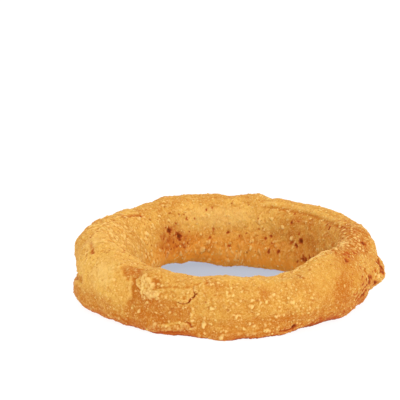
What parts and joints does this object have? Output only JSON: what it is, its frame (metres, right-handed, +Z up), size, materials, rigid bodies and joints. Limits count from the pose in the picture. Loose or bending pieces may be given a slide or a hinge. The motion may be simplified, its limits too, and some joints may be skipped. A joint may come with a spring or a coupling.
{
  "type": "onion ring",
  "caption": "Thick fried onion ring lying flat, with an uneven golden crumb crust, a chipped low side and a round hole.",
  "frame": {"origin": "on the surface that the ring lies on, under the middle of its bounding box", "axes": "+Z up, +X towards the ring's narrow end, +Y towards its tall side; the chipped side faces -Y"},
  "size_m": [0.08, 0.0784, 0.0193],
  "materials": {
    "crust": "golden fried crumb crust, slightly oily"
  },
  "bodies": {
    "root": {"onion_ring": "crust"}
  },
  "joints": []
}
